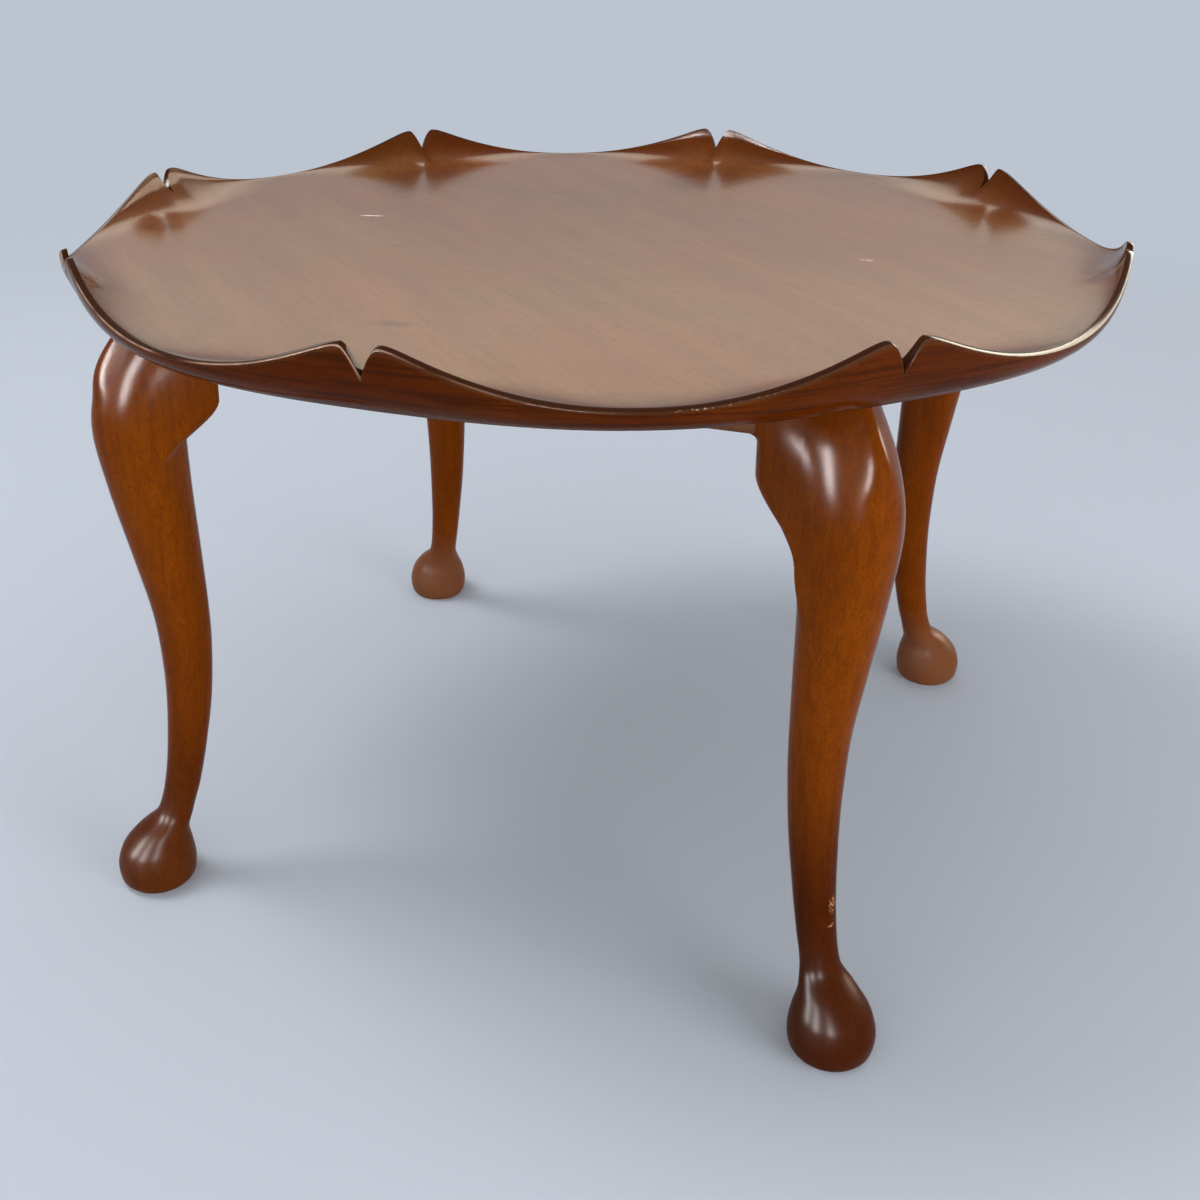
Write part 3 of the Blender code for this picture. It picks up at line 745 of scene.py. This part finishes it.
def set_piece(shape, name, material, slot, *nodes):
    """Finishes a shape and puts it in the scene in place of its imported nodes."""
    bmesh.ops.recalc_face_normals(shape, faces=shape.faces)
    mesh = as_mesh(shape, name)
    mesh.materials.clear()
    mesh.materials.append(material)
    mesh.polygons.foreach_set("material_index", [0] * len(mesh.polygons))
    mesh.shade_smooth()
    mesh.set_sharp_from_angle(angle=SHARP)
    piece = add_object(name, mesh)
    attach(piece, "root")
    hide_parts(*nodes)
    return mesh


def make_boards():
    whole = bmesh.new()
    whole.from_mesh(rim_band)
    close_holes(whole)
    bmesh.ops.recalc_face_normals(whole, faces=whole.faces)
    across = Vector((-math.sin(GRAIN_TURN), math.cos(GRAIN_TURN), 0.0))
    edges = [None, *[share * BOARD_RADIUS for share in JOINT_SHARES], None]
    for name, near, far in zip(BOARD_NAMES, edges, edges[1:]):
        shape = whole.copy()
        if near is not None:
            cut_away(shape, across * near, -across)
        if far is not None:
            cut_away(shape, across * far, across)
        mesh = set_piece(shape, "board_" + name, TOP_WOOD, "top_mahogany", "top_board_" + name)
        print(mesh.name, len(mesh.polygons), "faces")
    whole.free()


make_boards()

# %% [markdown]
# A cabriole leg is sawn from a square post in two S curves and then rounded by hand: a full knee, a
# slim ankle and a club foot. Its outline at each height is given by how far its back and front stand
# out from the inner face of the post. A curve through a few stations gives those, and a short running
# average takes out the last unevenness that a glossy finish would show.

# %% Leg outline
LEG_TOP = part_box("leg_front_left")[1].z
LEG_BACK = 0.23323
LEG_STATIONS = (
    (0.000, 0.0196, 0.0720),
    (0.010, 0.0162, 0.0759),
    (0.033, 0.0150, 0.0774),
    (0.063, 0.0170, 0.0740),
    (0.094, 0.0202, 0.0632),
    (0.125, 0.0186, 0.0476),
    (0.171, 0.0137, 0.0423),
    (0.250, 0.0072, 0.0386),
    (0.355, 0.0007, 0.0370),
    (0.470, -0.0019, 0.0392),
    (0.605, -0.0011, 0.0486),
    (0.730, 0.0000, 0.0584),
    (0.835, 0.0000, 0.0641),
    (0.918, 0.0000, 0.0566),
    (1.000, 0.0000, 0.0356),
)
ANKLE = 0.171
AVERAGED = 6
FOOT_RUN, ADDED_RUN, RUN_GROWS = 0.006, 0.034, (0.12, 0.30)
PROFILES = {}


def smooth_step(low, high, value):
    share = min(max((value - low) / (high - low), 0.0), 1.0)
    return share * share * (3 - 2 * share)


def monotone_curve(places, values, place):
    """A smooth curve through the values that never overshoots them."""
    slopes = [(v1 - v0) / (p1 - p0) for p0, p1, v0, v1 in zip(places, places[1:], values, values[1:])]
    tangents = [slopes[0]]
    for before, after in zip(slopes, slopes[1:]):
        tangents.append(2 * before * after / (before + after) if before * after > 0 else 0.0)
    tangents.append(slopes[-1])
    i = max(k for k in range(len(slopes)) if places[k] <= place or k == 0)
    width = places[i + 1] - places[i]
    t = min(max((place - places[i]) / width, 0.0), 1.0)
    start = (1 + 2 * t) * (1 - t) ** 2 * values[i] + t * (1 - t) ** 2 * width * tangents[i]
    end = t * t * (3 - 2 * t) * values[i + 1] + t * t * (t - 1) * width * tangents[i + 1]
    return start + end


def leg_profile(share):
    """The leg's back and front at a share of its height, evened out over a short run."""
    key = round(share, 6)
    if key not in PROFILES:
        places, backs, fronts = zip(*LEG_STATIONS)
        reach = min(FOOT_RUN + ADDED_RUN * smooth_step(*RUN_GROWS, share), share, 1 - share)
        steps = range(-AVERAGED, AVERAGED + 1)
        around = [share + reach * step / AVERAGED for step in steps]
        weights = [AVERAGED + 1 - abs(step) for step in steps]
        sides = []
        for values in (backs, fronts):
            total = sum(weight * monotone_curve(places, values, at) for weight, at in zip(weights, around))
            sides.append(LEG_BACK + total / sum(weights))
        PROFILES[key] = tuple(sides)
    return PROFILES[key]


print("leg height:", round(LEG_TOP, 4), "ankle:", [round(side, 4) for side in leg_profile(ANKLE)])

# %% [markdown]
# Each height then gets a ring of points. It is round in the foot and the ankle, grows two flat flanks
# at the knee, where the brackets carry the surface on, and ends as the square post that holds the
# rails.

# %% Leg rings
KNEE_STARTS, KNEE_FULL = 0.66, 0.775
POST_STARTS, POST_FULL = 0.79, 0.90
RAIL_FACE = LEG_BACK + 0.030
BRACKET_PROUD = 0.001
BRACKET_END = LEG_BACK - 0.034
ROUND_STEPS, FLANK_STEPS, SIDE_STEPS, BACK_STEPS = 14, 9, 6, 8


def flank(share, along):
    """Outer face of the knee and its brackets, at a distance along the rail from its middle."""
    back, front = leg_profile(share)
    half = (front - back) / 2
    middle = back + half
    slope = (front - RAIL_FACE - BRACKET_PROUD) / (middle - BRACKET_END - half / 2)
    reach = max(middle - along, 0.0)
    return front - slope * (reach * reach / (2 * half) if reach < half else reach - half / 2)


def leg_ring(share):
    """The outline of the leg at +X +Y, the same on both sides of the diagonal."""
    back, front = leg_profile(share)
    half = (front - back) / 2
    middle = back + half
    # A power of 2 gives a round ring, and a higher one a squarer ring.
    power = 2 + 0.35 * smooth_step(0.35, 0.80, share) + 5 * smooth_step(0.87, 1.0, share)
    knee = smooth_step(KNEE_STARTS, KNEE_FULL, share)
    post = smooth_step(POST_STARTS, POST_FULL, share)

    def round_point(degrees):
        c = math.cos(math.radians(degrees))
        s = math.sin(math.radians(degrees))
        size = half * (abs(c) ** power + abs(s) ** power) ** (-1 / power)
        return Vector((middle + size * c, middle + size * s))

    points = [round_point(45 + 45 * step / ROUND_STEPS) for step in range(ROUND_STEPS + 1)]
    for step in range(1, FLANK_STEPS + 1):
        along = middle - half * step / FLANK_STEPS
        flat = Vector((along, flank(share, along)))
        points.append(round_point(90 + 45 * step / FLANK_STEPS).lerp(flat, knee))
    side_top = flank(share, back)
    for step in range(1, SIDE_STEPS + 1):
        square = Vector((back, side_top + (middle - side_top) * step / SIDE_STEPS))
        points.append(round_point(135 + 45 * step / SIDE_STEPS).lerp(square, knee))
    for step in range(1, BACK_STEPS + 1):
        square = Vector((back, middle - half * step / BACK_STEPS))
        points.append(round_point(180 + 45 * step / BACK_STEPS).lerp(square, post))
    mirrored = [Vector((point.y, point.x)) for point in reversed(points[1:-1])]
    return points + mirrored


print("points in a ring:", len(leg_ring(ANKLE)))

# %% [markdown]
# Skinning the rings makes one leg, and quarter turns set it at the four corners. The rings lie closer
# together in the foot, where the outline turns quickly.

# %% Legs
CORNERS = ("back_right", "back_left", "front_left", "front_right")
FOOT_SHARE, FOOT_RINGS, SHIN_RINGS = 0.14, 34, 110
FOOT_CROWDING = 1.25


def skin(rings):
    """A closed shape through equal rings of points, with a flat cap at each end."""
    shape = bmesh.new()
    loops = [[shape.verts.new(point) for point in ring] for ring in rings]
    count = len(loops[0])
    for lower, upper in zip(loops, loops[1:]):
        for i in range(count):
            j = (i + 1) % count
            shape.faces.new((lower[i], lower[j], upper[j], upper[i]))
    shape.faces.new(loops[0])
    shape.faces.new(loops[-1])
    bmesh.ops.recalc_face_normals(shape, faces=shape.faces)
    return shape


def turned(shape, quarter):
    """A copy of a shape, turned by quarter turns about the table's axis."""
    copy = shape.copy()
    bmesh.ops.rotate(copy, matrix=Matrix.Rotation(quarter * math.pi / 2, 3, "Z"), verts=copy.verts)
    return copy


def spaced(low, high, count):
    """Even places from low to high, both included."""
    return [low + (high - low) * step / count for step in range(count + 1)]


def make_legs():
    shares = [FOOT_SHARE * (step / FOOT_RINGS) ** FOOT_CROWDING for step in range(FOOT_RINGS)]
    rings = []
    for share in shares + spaced(FOOT_SHARE, 1.0, SHIN_RINGS):
        rings.append([(point.x, point.y, share * LEG_TOP) for point in leg_ring(share)])
    leg = skin(rings)
    for quarter, corner in enumerate(CORNERS):
        name = "cabriole_leg_" + corner
        set_piece(turned(leg, quarter), name, LEG_WOOD, "leg_mahogany", "leg_" + corner)
    leg.free()
    print("legs:", len(rings), "rings of", len(rings[0]), "points")


make_legs()

# %% [markdown]
# Two brackets, the ears, widen each knee. They sit under the rails and run up in front of them, and on
# the real table they are glued on and shaped together with the leg, so the outer face is one surface:
# both pieces take it from the same `flank` rule, and they meet with no gap. The ear's end drops
# straight and then runs back to the leg in an ogee, and it is cut back behind its front edge, so that
# the ear looks thin from the side.

# %% Ear outline
RAIL_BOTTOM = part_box("rail_front")[0].z
SEAT = 0.0001
BRACKET_TOP = RAIL_BOTTOM - SEAT
BRACKET_BOTTOM = 0.778 * LEG_TOP
BRACKET_BACK = LEG_BACK + 0.0152
BRACKET_TURN = BRACKET_TOP - 0.0270
FLARE_HEIGHT, FLARE_LENGTH = 0.0065, 0.009
TOE = 0.0006
END_ROUND = 0.008
UNDERCUT = 0.75
FACE_STEPS, CORNER_STEPS, END_STEPS = 8, 6, 3


def bracket_end(height):
    """Where the ear stops along the rail: flared at the rail, upright, then an ogee back to the leg."""
    flare_start = BRACKET_TOP - FLARE_HEIGHT
    if flare_start < height <= BRACKET_TOP:
        rise = min((height - flare_start) / FLARE_HEIGHT, 1.0)
        return BRACKET_END - FLARE_LENGTH * (1 - math.sqrt(1 - rise * rise))
    if height > BRACKET_TURN:
        return BRACKET_END
    return BRACKET_END + (LEG_BACK - TOE - BRACKET_END) * smooth_step(BRACKET_TURN, BRACKET_BOTTOM, height)


def bracket_ring(height):
    share = height / LEG_TOP
    end = bracket_end(height)
    width = LEG_BACK - end
    leg_middle = sum(leg_profile(share)) / 2
    square = smooth_step(POST_STARTS, POST_FULL, share)
    back = leg_middle + (BRACKET_BACK - leg_middle) * square if height <= BRACKET_TOP else RAIL_FACE + SEAT
    rounding = min(END_ROUND, 0.6 * width, flank(share, end) - back)
    outline = []
    for along in spaced(LEG_BACK, end + rounding, FACE_STEPS):
        outline.append((along, flank(share, along)))
    for step in range(1, CORNER_STEPS + 1):
        angle = math.pi / 2 * step / CORNER_STEPS
        along = end + rounding * (1 - math.sin(angle))
        outline.append((along, flank(share, along) - rounding * (1 - math.cos(angle))))
    corner = outline[-1][1]
    end_back = end + min(UNDERCUT * (corner - back), width - TOE / 2)
    outline += list(zip(spaced(end, end_back, END_STEPS), spaced(corner, back, END_STEPS)))[1:]
    outline.append((LEG_BACK, back))
    return outline


print("points in an ear's outline:", len(bracket_ring(BRACKET_TOP)))

# %% [markdown]
# An ear is skinned through its outlines, from its toe up to the top of the post, with more rings where
# it flares. The same outlines mirrored give the ear on the other side of the leg.

# %% Knee brackets
SIDES = ("back", "left", "front", "right")
CURVE_RINGS, UPRIGHT_RINGS, FLARE_RINGS, FRONT_RINGS = 30, 14, 10, 12


def bracket_heights():
    curve = spaced(BRACKET_BOTTOM, BRACKET_TURN, CURVE_RINGS)
    upright = spaced(BRACKET_TURN, BRACKET_TOP - FLARE_HEIGHT, UPRIGHT_RINGS)[1:]
    angles = [math.pi / 2 * step / FLARE_RINGS for step in range(1, FLARE_RINGS + 1)]
    flare = [BRACKET_TOP - FLARE_HEIGHT * math.cos(angle) for angle in angles]
    front = spaced(BRACKET_TOP + SEAT, LEG_TOP, FRONT_RINGS)
    return curve + upright + flare + front


def make_brackets():
    rings = [(height, bracket_ring(height)) for height in bracket_heights()]
    plain = skin([[(p, q, height) for p, q in ring] for height, ring in rings])
    mirrored = skin([[(q, p, height) for p, q in ring] for height, ring in rings])
    for quarter, corner in enumerate(CORNERS):
        for shape, side in ((plain, SIDES[quarter]), (mirrored, SIDES[(quarter + 3) % 4])):
            name = f"{corner}_on_{side}_rail"
            ear = turned(shape, quarter)
            set_piece(ear, "ear_" + name, LEG_WOOD, "leg_mahogany", "knee_bracket_" + name)
    plain.free()
    mirrored.free()
    print("ears:", 2 * len(CORNERS), "of", len(rings), "rings")


make_brackets()

# %% [markdown]
# The frame under the top is four rails, tenoned into the posts. They are plain planed wood, so the
# shape is a stepped bar with its long edges eased by a plane.

# %% Rail shape
RAIL_LOW, RAIL_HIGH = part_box("rail_back")
JOINT_GAP = 0.0003
RAIL_SHOULDER = LEG_BACK - JOINT_GAP
RAIL_MIDDLE = (RAIL_LOW.y + RAIL_HIGH.y) / 2
TENON = (0.0045, 0.0075)
EASED = 0.0012


def rail_shape():
    """A rail along X at +Y, stepped down to a tenon at each end, with eased edges."""
    half = ((RAIL_HIGH.y - RAIL_LOW.y) / 2, (RAIL_HIGH.z - RAIL_LOW.z) / 2)
    middle_height = (RAIL_LOW.z + RAIL_HIGH.z) / 2
    end = RAIL_HIGH.x
    steps = [(-end, TENON), (-RAIL_SHOULDER, TENON), (-RAIL_SHOULDER, half)]
    steps += [(RAIL_SHOULDER, half), (RAIL_SHOULDER, TENON), (end, TENON)]
    rings = []
    for x, (half_y, half_z) in steps:
        corners = [(-half_y, -half_z), (half_y, -half_z), (half_y, half_z), (-half_y, half_z)]
        rings.append([(x, RAIL_MIDDLE + y, middle_height + z) for y, z in corners])
    shape = skin(rings)
    long_edges = [edge for edge in shape.edges if edge.calc_length() > RAIL_SHOULDER]
    bmesh.ops.bevel(shape, geom=long_edges, offset=EASED, segments=3, profile=0.5, affect="EDGES")
    return shape


print("rail middle:", round(RAIL_MIDDLE, 4))

# %% [markdown]
# Two holes are bored up through each rail, wide for a screw's head and then narrow for its shank. A
# Boolean takes a round stepped shape out of the rail, much as a drill does.

# %% Bore and set the rails
SCREW_SPACING = 0.220
COUNTERBORE_RADIUS, COUNTERBORE_DEPTH = 0.0052, 0.010
HOLE_RADIUS = 0.0023
BORED_PAST = 0.005


def turned_shape(stations, count, x=0.0, y=0.0):
    """A round shape on an upright axis, from the radius and height of each station."""
    turns = [2 * math.pi * i / count for i in range(count)]
    rings = []
    for radius, height in stations:
        rings.append([(x + radius * math.cos(t), y + radius * math.sin(t), height) for t in turns])
    return skin(rings)


def bored(shape, places):
    """The shape with a stepped screw hole at each place."""
    blank = add_object("blank", as_mesh(shape, "blank"))
    seat = RAIL_LOW.z + COUNTERBORE_DEPTH
    stations = [(COUNTERBORE_RADIUS, RAIL_LOW.z - BORED_PAST), (COUNTERBORE_RADIUS, seat)]
    stations += [(HOLE_RADIUS, seat), (HOLE_RADIUS, RAIL_HIGH.z + BORED_PAST)]
    borers = []
    for x in places:
        cutter = turned_shape(stations, count=32, x=x, y=RAIL_MIDDLE)
        borer = add_object("borer", as_mesh(cutter, "borer"))
        borers.append(borer)
        modifier = blank.modifiers.new("bore", "BOOLEAN")
        modifier.operation = "DIFFERENCE"
        modifier.solver = "EXACT"
        modifier.object = borer
    graph = bpy.context.evaluated_depsgraph_get()
    result = bmesh.new()
    result.from_mesh(blank.evaluated_get(graph).to_mesh())
    for item in [blank, *borers]:
        bpy.data.objects.remove(item, do_unlink=True)
    return result


def make_rails():
    rail = bored(rail_shape(), (-SCREW_SPACING / 2, SCREW_SPACING / 2))
    for quarter, side in enumerate(SIDES):
        wood = RAIL_WOOD["xy"[quarter % 2]]
        set_piece(turned(rail, quarter), "apron_rail_" + side, wood, "frame_mahogany", "rail_" + side)
    rail.free()
    print("rails:", len(SIDES))


make_rails()

# %% [markdown]
# A glue block in each corner stiffens the frame. It is notched round the post and lies against both
# rails, so its outline is five points pulled up straight, with all its edges eased.

# %% Corner blocks
BLOCK_LOW, BLOCK_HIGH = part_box("corner_block_back_right")
BLOCK_EASED = EASED * 0.7


def make_blocks():
    post = LEG_BACK - JOINT_GAP
    face, far = BLOCK_HIGH.x, BLOCK_LOW.x
    outline = [(face, far), (face, post), (post, post), (post, face), (far, face)]
    block = skin([[(x, y, z) for x, y in outline] for z in (BLOCK_LOW.z, BLOCK_HIGH.z)])
    edges = list(block.edges)
    bmesh.ops.bevel(block, geom=edges, offset=BLOCK_EASED, segments=2, profile=0.5, affect="EDGES")
    for quarter, corner in enumerate(CORNERS):
        name, node_name = "glue_block_" + corner, "corner_block_" + corner
        set_piece(turned(block, quarter), name, RAIL_WOOD["x"], "frame_mahogany", node_name)
    block.free()


make_blocks()
print("block reach:", round(BLOCK_HIGH.x - BLOCK_LOW.x, 4))

# %% [markdown]
# Eight round-head screws hold the top to the rails, two to a rail, with their heads up inside the
# counterbores. One screw is modelled: a round shape, whose head is cut along two lines and pushed in
# between them, which makes the slot.

# %% One screw
SCREW_LOW, SCREW_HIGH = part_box("top_screw_back_1")
HEAD_RADIUS = (SCREW_HIGH.x - SCREW_LOW.x) / 2
HEAD_HEIGHT = 0.0026
HEAD_FLAT, HEAD_STEPS = 0.12, 8
SHANK_RADIUS = 0.0020
TIP_LENGTH, TIP_SHARE = 0.004, 0.2
SLOT_HALF_WIDTH, SLOT_DEPTH = 0.00055, 0.0012


def screw_mesh():
    """A slotted screw, head down, standing on the origin."""
    height = SCREW_HIGH.z - SCREW_LOW.z
    stations = []
    for share in spaced(HEAD_FLAT, 1.0, HEAD_STEPS):
        angle = math.pi / 2 * share
        stations.append((HEAD_RADIUS * math.sin(angle), HEAD_HEIGHT * (1 - math.cos(angle))))
    stations += [(SHANK_RADIUS, HEAD_HEIGHT), (SHANK_RADIUS, height - TIP_LENGTH)]
    stations.append((SHANK_RADIUS * TIP_SHARE, height))
    shape = turned_shape(stations, count=36)
    for side in (-1, 1):
        parts = [*shape.verts, *shape.edges, *shape.faces]
        place = (0, side * SLOT_HALF_WIDTH, 0)
        bmesh.ops.bisect_plane(shape, geom=parts, plane_co=place, plane_no=(0, 1, 0), dist=1e-7)
    for point in shape.verts:
        if abs(point.co.y) < SLOT_HALF_WIDTH * 0.99 and point.co.z < SLOT_DEPTH:
            point.co.z = SLOT_DEPTH
    bmesh.ops.recalc_face_normals(shape, faces=shape.faces)
    return as_mesh(shape, "screw")


print("screw length:", round(SCREW_HIGH.z - SCREW_LOW.z, 4))

# %% [markdown]
# Geometry Nodes set the copies: the number of a point gives its rail and its side, and with them its
# place and turn. Every slot stops at another angle, as screws do that are driven by hand.

# %% Set the screws
SLOT_TURN = 0.9


def screw_tree(pattern):
    kinds = {"Spacing": "Float", "Reach": "Float", "Height": "Float", "Finish": "Material"}
    tree, entry, identifiers = rule_tree("top_screws", kinds, "Screws")
    number = Field(node(tree, "GeometryNodeInputIndex").outputs[0])
    turn = (number * 0.5).math("FLOOR") * (math.pi / 2)
    side = (number.math("MODULO", 2.0) * 2.0 - 1.0) * Field(entry.outputs["Spacing"]) * 0.5
    reach = Field(entry.outputs["Reach"])
    x = side * turn.math("COSINE") - reach * turn.math("SINE")
    y = side * turn.math("SINE") + reach * turn.math("COSINE")
    place = node(tree, "ShaderNodeCombineXYZ", {"X": x, "Y": y, "Z": entry.outputs["Height"]})
    points = node(tree, "GeometryNodePoints", {"Count": 2 * len(SIDES), "Position": place.outputs[0]})
    source = node(tree, "GeometryNodeObjectInfo", {"Object": pattern})
    spin = node(tree, "ShaderNodeCombineXYZ", {"Z": turn + number * SLOT_TURN}).outputs[0]
    inputs = {"Points": points.outputs[0], "Instance": source.outputs["Geometry"], "Rotation": spin}
    copies = node(tree, "GeometryNodeInstanceOnPoints", inputs)
    end_tree(tree, copies.outputs[0], entry.outputs["Finish"], "Screws")
    return tree, identifiers


def make_screws():
    pattern = add_object("screw_pattern", screw_mesh())
    values = {"Spacing": SCREW_SPACING, "Reach": RAIL_MIDDLE, "Height": SCREW_LOW.z, "Finish": STEEL}
    mesh = realized("top_screws", *screw_tree(pattern), values)
    bpy.data.objects.remove(pattern, do_unlink=True)
    shape = bmesh.new()
    shape.from_mesh(mesh)
    nodes = [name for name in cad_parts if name.startswith("top_screw_")]
    set_piece(shape, "top_screws", STEEL, "screw_steel", *nodes)
    print("screws:", len(nodes))


make_screws()
